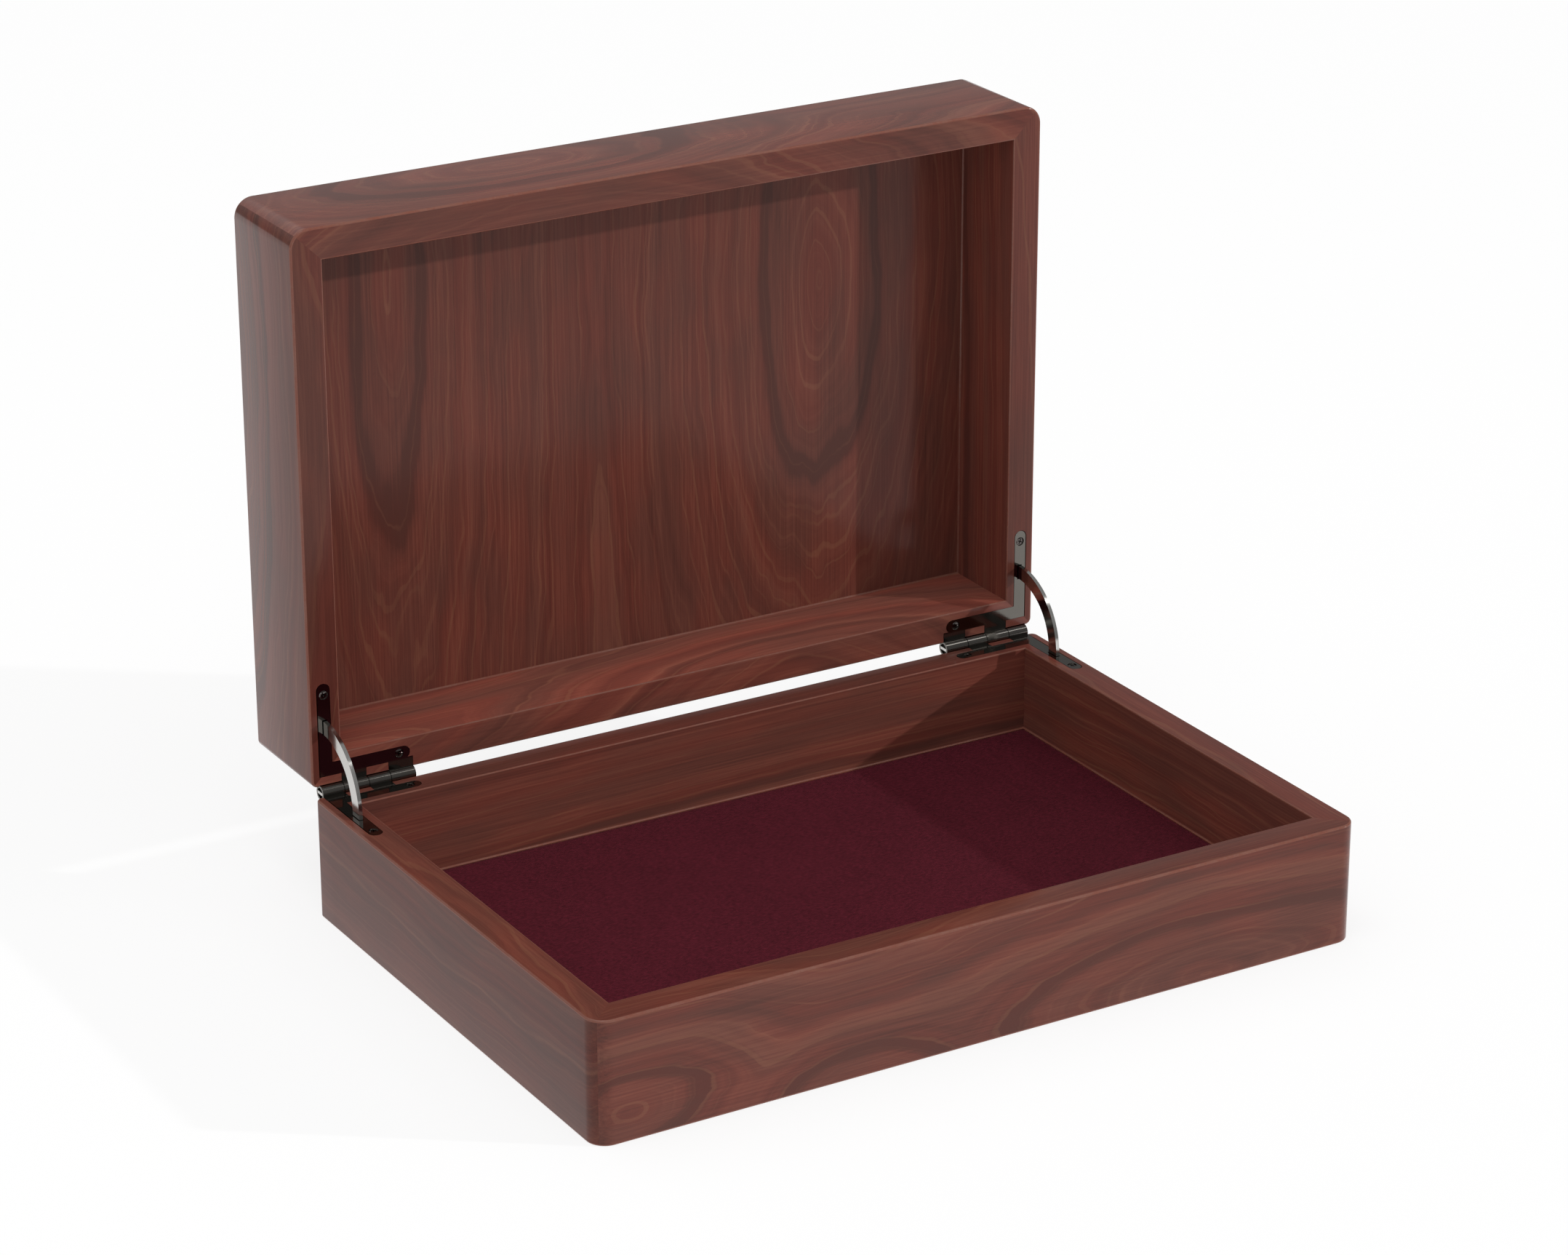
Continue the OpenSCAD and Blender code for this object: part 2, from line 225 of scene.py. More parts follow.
class KeepsakeStage(bpy.types.PropertyGroup):
    """Camera and studio light."""
    lens: bpy.props.FloatProperty(
        name="Focal length", default=109.25, unit="CAMERA",
        description="Focal length of the camera, in millimetres")
    sun: bpy.props.FloatProperty(
        name="Key light", default=1.35,
        description="Strength of the key light from the right front")
    sky: bpy.props.FloatProperty(
        name="Sky light", default=1.0,
        description="Brightness of the soft light from above and from the left")
    horizon: bpy.props.FloatProperty(
        name="Horizon light", default=0.21,
        description="Brightness of the soft light near the horizon")
    softbox: bpy.props.FloatProperty(
        name="Softbox", default=3.6, unit="POWER",
        description="Power of the small softbox high at the right front")
    overhead: bpy.props.FloatProperty(
        name="Overhead panel", default=12.0, unit="POWER",
        description="Power of the broad light overhead")
    floor_glow: bpy.props.FloatProperty(
        name="Floor glow", default=0.80,
        description="Extra brightness of the lit studio floor")
    floor: bpy.props.FloatVectorProperty(
        name="Floor", default=(0.22, 0.22, 0.22), subtype="COLOR", size=3,
        description="Colour of the studio floor")


# ---------------------------------------------------------------- shader maths

class Tap:
    """One output socket; Python's operators on it add Math nodes."""

    def __init__(self, graph, socket):
        self.graph = graph
        self.socket = socket

    def __add__(self, other):
        return self.graph.maths("ADD", self, other)

    def __radd__(self, other):
        return self.graph.maths("ADD", other, self)

    def __sub__(self, other):
        return self.graph.maths("SUBTRACT", self, other)

    def __rsub__(self, other):
        return self.graph.maths("SUBTRACT", other, self)

    def __mul__(self, other):
        return self.graph.maths("MULTIPLY", self, other)

    def __rmul__(self, other):
        return self.graph.maths("MULTIPLY", other, self)

    def __truediv__(self, other):
        return self.graph.maths("DIVIDE", self, other)

    def __rtruediv__(self, other):
        return self.graph.maths("DIVIDE", other, self)


class Graph:
    """A node tree under construction."""

    def __init__(self, tree):
        self.tree = tree

    def node(self, kind, settings=None, values=None, out=0):
        """Adds a node: its settings first, then the values or links of its sockets.

        Returns the output that out names, or a list of them where out is a tuple.
        """
        made = self.tree.nodes.new(kind)
        for key, value in (settings or {}).items():
            if key == "stops":
                ramp = made.color_ramp
                while len(ramp.elements) < len(value):
                    ramp.elements.new(0.5)
                for element, (place, colour) in zip(ramp.elements, value):
                    element.position = place
                    element.color = (*colour, 1)
            else:
                setattr(made, key, value)
        for key, value in (values or {}).items():
            self.feed(made.inputs[key], value)
        if isinstance(out, tuple):
            return [Tap(self, made.outputs[i]) for i in out]
        return Tap(self, made.outputs[out])

    def feed(self, socket, value):
        """Links a socket to a Tap, or sets its number or colour."""
        if isinstance(value, Tap):
            self.tree.links.new(value.socket, socket)
        elif hasattr(socket.default_value, "__len__") and len(socket.default_value) == 4 and len(value) == 3:
            socket.default_value = (*value, 1)
        else:
            socket.default_value = value

    def maths(self, operation, a, b=0.0):
        return self.node("ShaderNodeMath", {"operation": operation}, {0: a, 1: b})

    def join(self, x, y, z):
        return self.node("ShaderNodeCombineXYZ", None, {0: x, 1: y, 2: z})

    def split(self, vector):
        return self.node("ShaderNodeSeparateXYZ", None, {0: vector}, out=(0, 1, 2))

    def spread(self, value, low, high, out_low=0.0, out_high=1.0):
        """Stretches low..high to out_low..out_high, softly, and stops there."""
        return self.node("ShaderNodeMapRange", {"interpolation_type": "SMOOTHSTEP"}, {
            "Value": value, "From Min": low, "From Max": high, "To Min": out_low, "To Max": out_high})


class Finish(Graph):
    """A procedural material under construction."""

    def __init__(self, name):
        self.material = bpy.data.materials.new(name)
        self.material.use_nodes = True
        super().__init__(self.material.node_tree)
        self.shader = self.tree.nodes["Principled BSDF"]

    def place_mm(self):
        """The surface point in the row frame, in millimetres, as three numbers."""
        where = self.node("ShaderNodeTexCoord", out=3)
        return self.split(self.node("ShaderNodeVectorMath", {"operation": "SCALE"}, {0: where, 3: 1 / MM}))

    def noise(self, x, y, z, detail=2.0, rough=0.5):
        """Soft noise over the three numbers, with grains about one unit across."""
        return self.node("ShaderNodeTexNoise", {"noise_dimensions": "3D"}, {
            "Vector": self.join(x, y, z), "Scale": 1.0, "Detail": detail, "Roughness": rough})

    def line_noise(self, along, scale, detail, rough=0.5):
        """Noise along one number only, so that it draws lines."""
        return self.node("ShaderNodeTexNoise", {"noise_dimensions": "1D"}, {
            "W": along, "Scale": scale, "Detail": detail, "Roughness": rough})

    def blend(self, factor, a, b, mode="MIX"):
        return self.node("ShaderNodeMix", {"data_type": "RGBA", "blend_type": mode}, {0: factor, 6: a, 7: b}, out=2)

    def tint(self, colour, by):
        """Multiplies a colour by a colour, or by one number."""
        return self.blend(1.0, colour, self.join(by, by, by) if isinstance(by, Tap) else by, "MULTIPLY")

    def bump(self, height, strength, distance):
        return self.node("ShaderNodeBump", None, {"Height": height, "Strength": strength, "Distance": distance})

    def set(self, **values):
        for key, value in values.items():
            self.feed(self.shader.inputs[key.replace("_", " ")], value)
        return self.material


def heart_distance(f, along, across, hearts):
    """How far in mm a point lies outside the dark line round the nearest heart, where neighbours run together."""
    merge = 9.0
    ring = None
    for heart_along, heart_across, slenderness, line in hearts:
        offset = f.join((along - heart_along) / slenderness, across - heart_across, 0.0)
        reach = f.node("ShaderNodeVectorMath", {"operation": "LENGTH"}, {0: offset}, out=1) - line
        if ring is None:
            ring = reach
        else:
            ring = f.node("ShaderNodeMath", {"operation": "SMOOTH_MIN"}, {0: ring, 1: reach, 2: merge})
    return ring


def mahogany(name, look, grain, hearts, seed, calm=1.0, figure=1.55, tones_and_painted_light=(1.0, 1.0, 1.0), ior=1.28, coat=0.0,
             face=0.0, edge=None):
    """Lacquered mahogany, whose growth lines ring the hearts.

    Each heart is (along, across, slenderness, radius of its dark line) in mm. calm straightens the lines below 1,
    and figure is their strength against the fibre's. The three tone factors are the board's own tone with painted
    light and shade: the outer face, the rim and the inner face each get a tone for how light falls on them. coat is
    the extra lacquer on the outer face. face is where the finished face lies through the board, in mm. edge is the
    way in from that face, the height of the rim in mm and the way up to it.
    """
    f = Finish(name)
    spot = f.place_mm()
    along, across, deep = (spot[i] for i in GRAIN[grain])
    deep = deep - face
    shift = seed * 97.0

    # The rings: a slow wander and a fine waver of the lines, leaning through the board's thickness.
    lean, wander, waver = 0.55, 19.0 * calm, 1.9 * calm
    drift = f.noise(along / 70.0 + shift, across / 21.0, deep / 24.0, 2.5, 0.55)
    curl = f.noise(along / 15.0 + shift, across / 4.6, deep / 5.0, 2.0, 0.6)
    ring = heart_distance(f, along, across, hearts) + deep * lean + (drift - 0.5) * wander + (curl - 0.5) * waver
    own = ring + seed * 41.0
    wide = f.line_noise(own, 0.10, 2.0)
    bands = f.line_noise(own + 300.0, 0.30, 4.0, 0.65)
    redness = f.line_noise(own + 500.0, 0.10, 1.5)
    gold = f.line_noise(own + 700.0, 0.62, 1.0)
    fibre = f.noise(along / 70.0, across / 0.75, deep / 0.75, 3.0, 0.62)
    pores = f.noise(along / 3.4, across / 0.21, deep / 0.21, 1.0)
    cloud = f.noise(along / 60.0 + shift, across / 24.0, deep / 24.0, 3.0, 0.55)

    # The dark line round a heart fades over its width, and breaks up where the figure drifts.
    dark_core, dark_fade, darkness = 0.5, 2.9, 0.20
    outline = (f.spread(f.maths("ABSOLUTE", ring), dark_core, dark_fade, darkness, 0.0)
               * f.spread(drift, 0.30, 0.55, 0.55, 1.0))
    amount = ((wide - 0.5) * (0.23 * figure) + (bands - 0.5) * (0.17 * figure) + fibre * (0.46 / figure)
              + cloud * 0.22 - outline)
    middle = 0.11 + 0.23 / figure
    dark = list(look.wood_dark)
    stops = [(middle - 0.15, dark), (middle, list(look.wood_mid)), (middle + 0.14, list(look.wood_light))]
    body = f.node("ShaderNodeValToRGB", {"stops": stops}, {"Fac": amount})

    # Browner and redder patches, golden lines and dark open pores.
    browner, redder = (0.95, 1.03, 1.03), (1.06, 0.92, 0.90)
    body = f.blend(f.spread(redness * 0.4 + cloud * 0.6, 0.38, 0.62), f.tint(body, browner), f.tint(body, redder))
    gilding = f.spread(gold, 0.60, 0.72, 0.0, 0.26) * f.spread(cloud, 0.35, 0.6, 0.3, 1.0)
    body = f.blend(gilding, body, list(look.wood_gold))
    colour = f.blend(f.spread(pores, 0.62, 0.76, 0.0, 0.20), body, [c * 0.5 for c in dark])

    # Painted light and shade: each face of the board (outer face, rim, inner face) gets its own tone for how light
    # falls on it. The outer face also gets the extra lacquer.
    outside, tone, inside = tones_and_painted_light
    lacquer = 0.0
    if edge:
        way, brim, up = edge
        thickness = BOX["board"] / MM
        within = f.spread(deep * way, thickness - 0.6, thickness - 0.1)
        on_rim = f.spread((across - brim) * up, -0.8, -0.1)
        lacquer = (1.0 - on_rim) * (1.0 - within) * coat if coat else 0.0
        tone = (within * (inside - outside) + outside) * (1.0 - on_rim) + on_rim * tone
    colour = f.tint(colour, tone if edge else (tone,) * 3)
    height = fibre * 0.6 - pores * 0.3 + bands * 0.2
    return f.set(Base_Color=colour, Roughness=look.wood_gloss - 0.04 + fibre * 0.08, IOR=ior,
                 Coat_Weight=lacquer, Coat_Roughness=look.wood_gloss, Normal=f.bump(height, 0.04, 0.0004))


def burgundy_cloth(look):
    """Burgundy cloth: a fine plain weave, a soft fibre nap and slight unevenness of the dye."""
    warp_pitch, weft_pitch = 0.80, 0.74
    f = Finish("burgundy_lining_cloth")
    x, y, z = f.place_mm()
    wobble = f.noise(x / 6.0, y / 6.0, z / 6.0)
    warp = f.maths("SINE", (x + wobble * 0.5) * (2 * math.pi / warp_pitch))
    weft = f.maths("SINE", (y + wobble * 0.5) * (2 * math.pi / weft_pitch))
    knot = warp * weft
    mottle = f.noise(x / 4.5, y / 7.0, z / 5.0, 3.0, 0.6)
    fuzz = f.noise(x / 0.45, y / 0.45, z / 0.45, 2.0, 0.6)
    tuft = f.noise(x / 1.8, y / 1.1, z / 1.2, 2.0, 0.65)
    cloud = f.noise(x / 26.0, y / 26.0, z / 26.0, 3.0)
    shade = (knot * 0.20 + (fuzz - 0.5) * 0.8 + (tuft - 0.5) * 1.5 + (cloud - 0.5) * 0.25
             + (mottle - 0.5) * 0.35 + 1.0)
    return f.set(Base_Color=f.tint(look.cloth, shade), Roughness=1.0, Specular_IOR_Level=0.12,
                 Normal=f.bump(knot * 0.5 + fuzz * 0.8 + tuft * 1.2, 0.5, 0.0004))


def nickel(name, plate, rough=0.08):
    """Polished nickel plate with faint polishing marks."""
    f = Finish(name)
    x, y, z = f.place_mm()
    haze = f.noise(x / 9.0, y / 9.0, z / 9.0, 3.0, 0.55)
    marks = f.noise(x / 0.25, y / 3.0, z / 3.0, 2.0, 0.6)
    return f.set(Base_Color=f.tint(plate, 0.92 + haze * 0.16), Metallic=1.0,
                 Roughness=rough - 0.04 + haze * 0.08 + marks * 0.03, Normal=f.bump(marks, 0.03, 0.0002))


def painted_edge_highlight(look):
    """The eased edges, painted lighter than the wood as a highlight where light catches them."""
    f = Finish(EDGE_HIGHLIGHT_MATERIAL)
    x, y, z = f.place_mm()
    patch = f.noise(x / 9.0, y / 9.0, z / 9.0, 3.0, 0.6)
    grain = f.noise(x / 1.1, y / 1.1, z / 1.1, 2.0, 0.6)
    # Painted highlight: the light growth-line colour mixed with the lighter edge colour.
    colour = f.blend(f.spread(patch * 0.6 + grain * 0.4, 0.35, 0.65), look.wood_light, look.edge)
    return f.set(Base_Color=colour, Roughness=look.wood_gloss - 0.03 + grain * 0.06, IOR=1.32)


# ---------------------------------------------------------------- meshes

def mesh_from(name, build):
    """A mesh made by a function that fills a bmesh."""
    bm = bmesh.new()
    build(bm)
    mesh = bpy.data.meshes.new(name)
    bm.to_mesh(mesh)
    bm.free()
    return mesh


def shown(name, data):
    """An object in the scene that shows a mesh, a light or a camera."""
    made = bpy.data.objects.new(name, data)
    bpy.context.scene.collection.objects.link(made)
    return made


def new_piece(name, mesh, material, body):
    piece = shown(name, mesh)
    mesh.materials.append(material)
    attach(piece, body)
    return piece


def arc(ca, cb, radius, start, end, steps):
    """Points of an arc round (ca, cb), between two angles in degrees."""
    angles = [math.radians(start + (end - start) * i / steps) for i in range(steps + 1)]
    return [(ca + radius * math.cos(a), cb + radius * math.sin(a)) for a in angles]


def eased(o, z, so, sz, radius, steps=5):
    """Points of a rounded corner at (o, z) whose centre lies towards (so, sz)."""
    angles = [math.pi / 2 * i / steps for i in range(steps + 1)]
    return [(o + so * radius * (1 - math.sin(a)), z + sz * radius * (1 - math.cos(a))) for a in angles]


def board_section(sizes, stop):
    """The board's cross-section, as (distance in from the outer face, height), and which sides get the painted
    highlight.

    stop is the height at which the board meets its panel.
    """
    t, h = BOX["board"], BOX["height"]
    outer, cove = sizes.outer_ease, sizes.cove
    corners = [eased(0, 0, 1, 1, outer), eased(0, h, 1, -1, outer)[::-1], eased(t, h, -1, -1, sizes.inner_ease)]
    corners.append([(t + cove * (1 - math.cos(a)), stop + cove * (1 - math.sin(a)))
                    for a in (0, 0.4, 0.8, 1.2, math.pi / 2)])
    corners += [[(t + cove, stop - LIP)], [(t, stop - LIP)], [(t, FOOT_BREAK)], [(t - FOOT_BREAK, 0)]]
    # The eased corners and the cove are flagged for the painted edge highlight.
    section, highlight_flags = [], []
    for corner in corners:
        section += corner
        highlight_flags += [True] * (len(corner) - 1) + [False]
    return section, highlight_flags


def end_stations(o, radius):
    """How a point of the section, set in by o, runs into a mitred corner, as (short of the end, sideways)."""
    start = BOX["board"] + MITRE_START
    out = [(start, 0.0)]
    for k in range(1, CORNER_STEPS + 1):
        if o < radius:
            a = math.radians(45) * (k - 1) / (CORNER_STEPS - 1)
            rho = radius - o
            out.append((radius - rho * math.sin(a), rho * (1 - math.cos(a))))
        else:
            out.append((start + (o - start) * k / CORNER_STEPS, 0.0))
    return out


def make_board(tray, wall, sizes, stop):
    """A mitred board, swept round its corners. Returns a mesh in the row frame."""
    hw, hd = BOX["half_width"], BOX["half_depth"]
    half = hw if wall in ("front", "back") else hd
    low_radius = sizes.back_radius if wall == "back" else sizes.front_radius
    high_radius = sizes.front_radius if wall == "front" else sizes.back_radius
    section, highlight_flags = board_section(sizes, stop)

    def run_of(o, z):
        low = [(-half + s, o + w) for s, w in end_stations(o, low_radius)][::-1]
        high = [(half - s, o + w) for s, w in end_stations(o, high_radius)]
        start, end = low[-1][0], high[0][0]
        middle = [(start + (end - start) * k / MIDDLE_STEPS, o) for k in range(1, MIDDLE_STEPS)]
        places = {"front": lambda s, d: (s, -hd + d), "back": lambda s, d: (s, hd - d),
                  "left": lambda s, d: (-hw + d, s), "right": lambda s, d: (hw - d, s)}
        return [row_point(tray, *places[wall](s, d), z) for s, d in low + middle + high]

    def build(bm):
        grid = [[bm.verts.new(p) for p in run_of(o, z)] for o, z in section]
        # Flagged faces take the second material, the painted edge highlight.
        for a, b, takes_highlight in zip(grid, grid[1:] + grid[:1], highlight_flags):
            for k in range(len(a) - 1):
                bm.faces.new((a[k], a[k + 1], b[k + 1], b[k])).material_index = int(takes_highlight)
        bm.faces.new([run[0] for run in grid])
        bm.faces.new([run[-1] for run in grid][::-1])
        bmesh.ops.remove_doubles(bm, verts=bm.verts, dist=WELD)
        bmesh.ops.recalc_face_normals(bm, faces=bm.faces)

    return mesh_from(f"{tray}_{wall}_board", build)


def prism(points, low, high, put):
    """A builder of a closed prism over a flat outline; put turns (a, b, c) into a place in the row frame."""
    def build(bm):
        bottom = [bm.verts.new(put(a, b, low)) for a, b in points]
        top = [bm.verts.new(put(a, b, high)) for a, b in points]
        faces = [bm.faces.new(bottom), bm.faces.new(top[::-1])]
        for i in range(len(points)):
            j = (i + 1) % len(points)
            faces.append(bm.faces.new((bottom[i], top[i], top[j], bottom[j])))
        bmesh.ops.recalc_face_normals(bm, faces=faces)
    return build


def leaf_outline(sizes, grow):
    """The L of a hinge leaf in the corner's (u, v), with round ends."""
    u0, v0 = BOX["leaf_side"] - grow, sizes.leaf_back - grow
    wide = sizes.leaf_width + 2 * grow
    far = sizes.leg_length - sizes.leaf_width / 2 + grow
    r, steps = wide / 2, 14
    return ([(u0, v0)] + arc(u0 + far, v0 + r, r, -90, 90, steps) + [(u0 + wide, v0 + wide)]
            + arc(u0 + r, v0 + far, r, 0, 180, steps))


def knuckles(tray):
    """The stretches of the barrel, measured in from the side face, that belong to one tray's leaf."""
    start, end = BOX["barrel"]
    long = ((end - start) - 2 * SHORT_KNUCKLE - 3 * KNUCKLE_GAP) / 2
    second = start + SHORT_KNUCKLE + KNUCKLE_GAP
    spans = [(start, start + SHORT_KNUCKLE), (second, second + long)]
    step = SHORT_KNUCKLE + long + 2 * KNUCKLE_GAP
    spans += [(a + step, b + step) for a, b in spans]
    return spans[0::2] if tray == "base" else spans[1::2]


def hinge_cutters(tray, side, sizes):
    """The cuts one hinge needs in one tray: leaf recess, straps, barrel gain and the stay's mortise."""
    rim = BOX["height"]
    bed = rim - sizes.leaf_depth
    axis_y, axis_z = BOX["axis"]
    axis_in = BOX["half_depth"] - axis_y
    axis_up = rim + (axis_z - rim if tray == "base" else BOX["rim_y"] - axis_y)
    start, end = BOX["barrel"]

    def put(u, v, z):
        return corner_point(tray, side, u, v, z)

    def put_round(v, z, u):
        return put(u, v, z)

    builds = [prism(leaf_outline(sizes, LEAF_FIT), bed, rim + 1.5 * OVERCUT, put)]
    for a, b in knuckles(tray):
        near, far = a - STRAP_FIT, b + STRAP_FIT
        strap = [(near, -OVERCUT), (far, -OVERCUT), (far, STRAP_RUN), (near, STRAP_RUN)]
        builds.append(prism(strap, bed, rim + OVERCUT, put))
    gain = arc(axis_in, axis_up, GAIN_RADIUS, 0, 360 - 360 / GAIN_FACETS, GAIN_FACETS - 1)
    builds.append(prism(gain, start - RUNNING_FIT, end + RUNNING_FIT, put_round))
    outer = BOX["arm_reach"] + RUNNING_FIT
    inner = BOX["arm_reach"] - STAY_BAND - LUG_REACH - RUNNING_FIT
    first, last = MORTISE_SWEEP
    mortise = arc(axis_in, axis_up, outer, first, last, 40) + arc(axis_in, axis_up, inner, last, first, 40)
    middle, half = BOX["half_width"] - BOX["arm_middle"], BOX["arm_thickness"] / 2 + RUNNING_FIT
    builds.append(prism(mortise, middle - half, middle + half, put_round))
    return [shown("cutter", mesh_from("cutter", build)) for build in builds]


def cut(piece, cutters):
    """Takes the cutters out of the piece and keeps the result as its mesh."""
    for tool in cutters:
        mod = piece.modifiers.new("cut", "BOOLEAN")
        mod.operation, mod.object, mod.solver = "DIFFERENCE", tool, "EXACT"
    bpy.context.view_layer.update()
    mesh = bpy.data.meshes.new_from_object(piece.evaluated_get(bpy.context.evaluated_depsgraph_get()))
    piece.modifiers.clear()
    old, piece.data = piece.data, mesh
    mesh.name = old.name
    bpy.data.meshes.remove(old)
    for tool in cutters:
        spent = tool.data
        bpy.data.objects.remove(tool)
        bpy.data.meshes.remove(spent)


def smooth(mesh):
    mesh.polygons.foreach_set("use_smooth", [True] * len(mesh.polygons))


def sharpen(piece, degrees=32):
    """Smooth shading that keeps edges steeper than the angle crisp."""
    smooth(piece.data)
    piece.data.set_sharp_from_angle(angle=math.radians(degrees))


def broken_edges(piece, width, segments=2):
    """A fine bevel on a carried-over CAD node, as modifiers only."""
    flat = piece.modifiers.new("flatten", "DECIMATE")
    flat.decimate_type, flat.angle_limit = "DISSOLVE", math.radians(1.0)
    ease = piece.modifiers.new("ease", "BEVEL")
    ease.width, ease.segments, ease.limit_method = width, segments, "ANGLE"
    ease.angle_limit, ease.harden_normals, ease.use_clamp_overlap = math.radians(35), True, True
    piece.modifiers.new("normals", "WEIGHTED_NORMAL").keep_sharp = True


def finish_node(name, material, width, segments=2):
    """Gives a CAD node its material and broken edges."""
    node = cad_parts[name]
    node.data.materials.clear()
    node.data.materials.append(material)
    smooth(node.data)
    broken_edges(node, width, segments)


def build_tray(tray, scene, woods):
    """The four boards of one tray, each with its own wood, cut for the hinges."""
    sizes, look = scene.keepsake_sizes, scene.keepsake_finish
    stop = BOX["cloth"][1].z if tray == "base" else BOX["height"] - (BOX["panel_y"] - BOX["rim_y"])
    # Each board's second material is the painted highlight on its eased edges and cove.
    edge = bpy.data.materials.get(EDGE_HIGHLIGHT_MATERIAL) or painted_edge_highlight(look)
    hinged_sides = {"front": (), "back": (-1, 1), "left": (-1,), "right": (1,)}
    for wall in WALLS:
        (face, way), rim = faces_of(tray, wall)
        wood = mahogany(f"{tray}_{wall}_mahogany", look, face=face, edge=(way, *rim), **woods[wall])
        piece = new_piece(f"{tray}_{wall}_board", make_board(tray, wall, sizes, stop), wood, tray)
        piece.data.materials.append(edge)
        for side in hinged_sides[wall]:
            cut(piece, hinge_cutters(tray, side, sizes))
        sharpen(piece)
        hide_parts(f"{tray}_{wall}_wall")


def cloth_sheet(low, high, lift):
    """A laid cloth between two corners of its box: a gently uneven top, rolled edges and a flat underside."""
    nx, ny = 96, 64
    step = nx + 1
    rolled = {0: 0.00035, 1: 0.00008}
    off_floor = 0.00002

    def build(bm):
        top, bottom = [], []
        for j in range(ny + 1):
            for i in range(nx + 1):
                x = low.x + (high.x - low.x) * i / nx
                y = low.y + (high.y - low.y) * j / ny
                roll = rolled.get(min(i, nx - i, j, ny - j), 0.0)
                long_wave = math.sin(x * 61 + 1.3 * math.sin(y * 47))
                short_wave = math.sin(y * 83 + x * 29)
                wave = lift * (0.5 + 0.25 * long_wave + 0.25 * short_wave)
                top.append(bm.verts.new((x, y, high.z - wave - roll)))
                bottom.append(bm.verts.new((x, y, low.z + off_floor)))
        for j in range(ny):
            for i in range(nx):
                a = j * step + i
                bm.faces.new((top[a], top[a + 1], top[a + 1 + step], top[a + step]))
                bm.faces.new((bottom[a], bottom[a + step], bottom[a + 1 + step], bottom[a + 1]))
        border = (list(range(step)) + [j * step + nx for j in range(1, ny + 1)]
                  + [ny * step + i for i in range(nx - 1, -1, -1)] + [j * step for j in range(ny - 1, 0, -1)])
        for a, b in zip(border, border[1:] + border[:1]):
            bm.faces.new((bottom[a], bottom[b], top[b], top[a]))
        bmesh.ops.recalc_face_normals(bm, faces=bm.faces)

    return mesh_from("lining_cloth", build)


# ---------------------------------------------------------------- the studio

def studio_floor(stage):
    """A pale round floor under the box, far wider than the view."""
    radius, facets = 12.0, 64

    def build(bm):
        angles = [2 * math.pi * k / facets for k in range(facets)]
        bm.faces.new([bm.verts.new((radius * math.cos(a), radius * math.sin(a), 0)) for a in angles])
        bmesh.ops.recalc_face_normals(bm, faces=bm.faces)

    floor = shown("studio_floor", mesh_from("studio_floor", build))
    floor.data.materials.append(Finish("studio_paper").set(
        Base_Color=stage.floor, Roughness=0.95, Specular_IOR_Level=0.0,
        Emission_Color=(1.0, 1.0, 1.0), Emission_Strength=stage.floor_glow))


def studio_sky(stage):
    """Soft light that brightens from the horizon up, and stays dim towards the right."""
    world = bpy.data.worlds.new("studio")
    world.use_nodes = True
    g = Graph(world.node_tree)
    towards_right, _, up = g.split(g.node("ShaderNodeTexCoord"))
    bright_until, dim_from, share_left = 0.12, 0.42, 0.1
    dim = stage.horizon + share_left * (stage.sky - stage.horizon)
    top = g.spread(towards_right, bright_until, dim_from, stage.sky, dim)
    background = g.tree.nodes["Background"]
    g.feed(background.inputs["Strength"], g.spread(up, 0.0, 1.0, stage.horizon, top))
    g.feed(background.inputs["Color"], (1, 1, 1))
    bpy.context.scene.world = world


def aim_lamp(data, towards, distance):
    """Puts a lamp at a distance from the box in the given direction, shining back at it."""
    towards = Vector(towards).normalized()
    lamp = shown(data.name, data)
    lamp.rotation_mode = "QUATERNION"
    lamp.location, lamp.rotation_quaternion = towards * distance, towards.to_track_quat("Z", "Y")


def studio_lamps(stage):
    """A key light with crisp shadows, a small softbox and a broad panel overhead."""
    key = bpy.data.lights.new("key", "SUN")
    key.energy, key.angle = stage.sun, math.radians(1.2)
    aim_lamp(key, (0.765, -0.555, 0.326), 0.0)
    for name, width, height, power, towards in (
            ("softbox", 0.8, 0.45, stage.softbox, (0.474, -0.382, 0.793)),
            ("overhead", 1.3, 0.9, stage.overhead, (-0.25, -0.10, 0.96))):
        area = bpy.data.lights.new(name, "AREA")
        area.shape, area.size, area.size_y, area.energy = "RECTANGLE", width, height, power
        aim_lamp(area, towards, 3.0)


def studio_camera(stage):
    """The camera: front left of the box and above it, looking down a little."""
    cam = bpy.data.cameras.new("camera")
    cam.sensor_width, cam.lens = 36.0, stage.lens
    cam.clip_start, cam.clip_end = 0.05, 50.0
    place = Vector((-0.8565, -1.40261, 0.78972))
    right = Vector((0.859208, -0.511625, -0.000988))
    up = Vector((0.192999, 0.322328, 0.926745))
    turn = Matrix((right, up, right.cross(up))).transposed()
    eye = shown("camera", cam)
    eye.matrix_world = Matrix.Translation(place) @ turn.to_4x4()
    bpy.context.scene.camera = eye


# ---------------------------------------------------------------- operators

